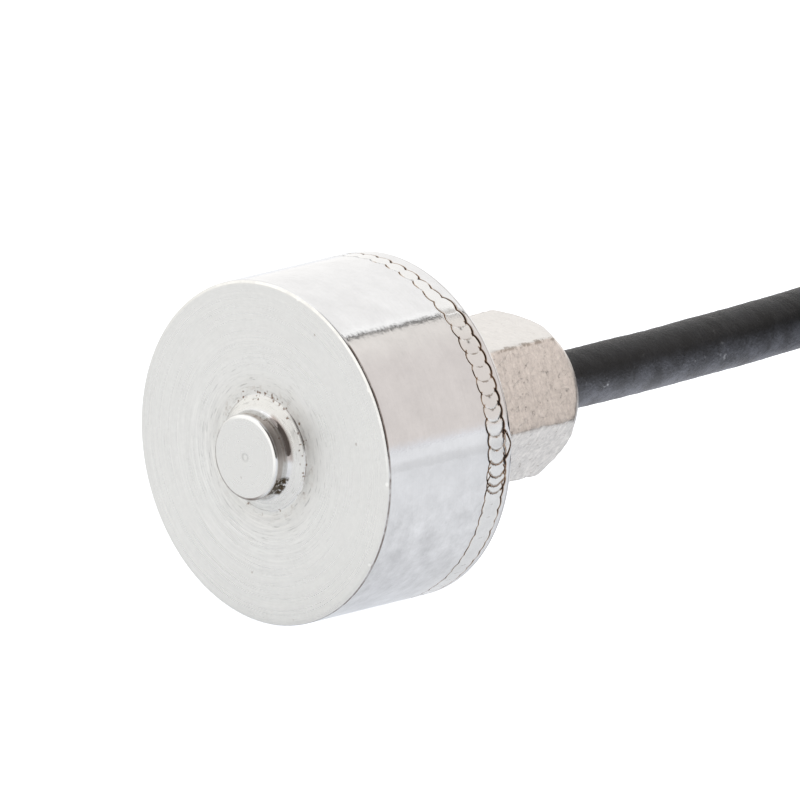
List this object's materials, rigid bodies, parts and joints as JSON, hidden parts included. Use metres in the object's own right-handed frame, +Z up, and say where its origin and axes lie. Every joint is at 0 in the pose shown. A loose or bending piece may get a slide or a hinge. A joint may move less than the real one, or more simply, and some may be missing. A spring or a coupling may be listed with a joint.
{
  "type": "button load cell",
  "caption": "Miniature button load cell: round steel body with a load button on its sensing face, welded rear cover, hexagon cable gland and a thin coiled lead with bare core ends.",
  "frame": {"origin": "on the floor under the middle of the cell, measured without the lead and its coil", "axes": "+Z up, the load axis along Y with the button towards -Y and the lead leaving to +Y"},
  "size_m": [0.0342, 0.0534, 0.012],
  "materials": {
    "body_steel": "turned sensing face, ground and polished side",
    "weld_steel": "spot-weld bead with heat tint along its edges",
    "gland_metal": "satin, finely scratched",
    "epoxy": "cast",
    "crimp_brass": "plain",
    "board": "solder mask",
    "chip": "plain",
    "solder": "bright",
    "gauge_film": "clear amber film",
    "gauge_foil": "etched foil",
    "copper": "drawn wire",
    "insulation_red": "satin",
    "insulation_black": "satin",
    "insulation_green": "satin",
    "insulation_white": "satin",
    "jacket": "matte, dusty",
    "tie": "moulded"
  },
  "bodies": {
    "root": {"body": "body_steel", "rear_cover": "body_steel", "weld_bead": "weld_steel", "cable_gland": "gland_metal", "potting_plug": "epoxy", "crimp_ring": "crimp_brass", "terminal_board": "board", "zero_trim_resistor": "chip", "span_trim_resistor": "chip", "tempco_resistor": "chip", "solder_joints": "solder", "gauge_film_1": "gauge_film", "gauge_film_2": "gauge_film", "gauge_film_3": "gauge_film", "gauge_film_4": "gauge_film", "gauge_grid_1": "gauge_foil", "gauge_grid_2": "gauge_foil", "gauge_grid_3": "gauge_foil", "gauge_grid_4": "gauge_foil", "jumper_wires": "copper", "core_red": "insulation_red", "core_black": "insulation_black", "core_green": "insulation_green", "core_white": "insulation_white", "cable_lead": "jacket", "cable_coil": "jacket", "cable_tie": "tie", "lead_red": "insulation_red", "lead_black": "insulation_black", "lead_green": "insulation_green", "lead_white": "insulation_white"}
  },
  "joints": []
}
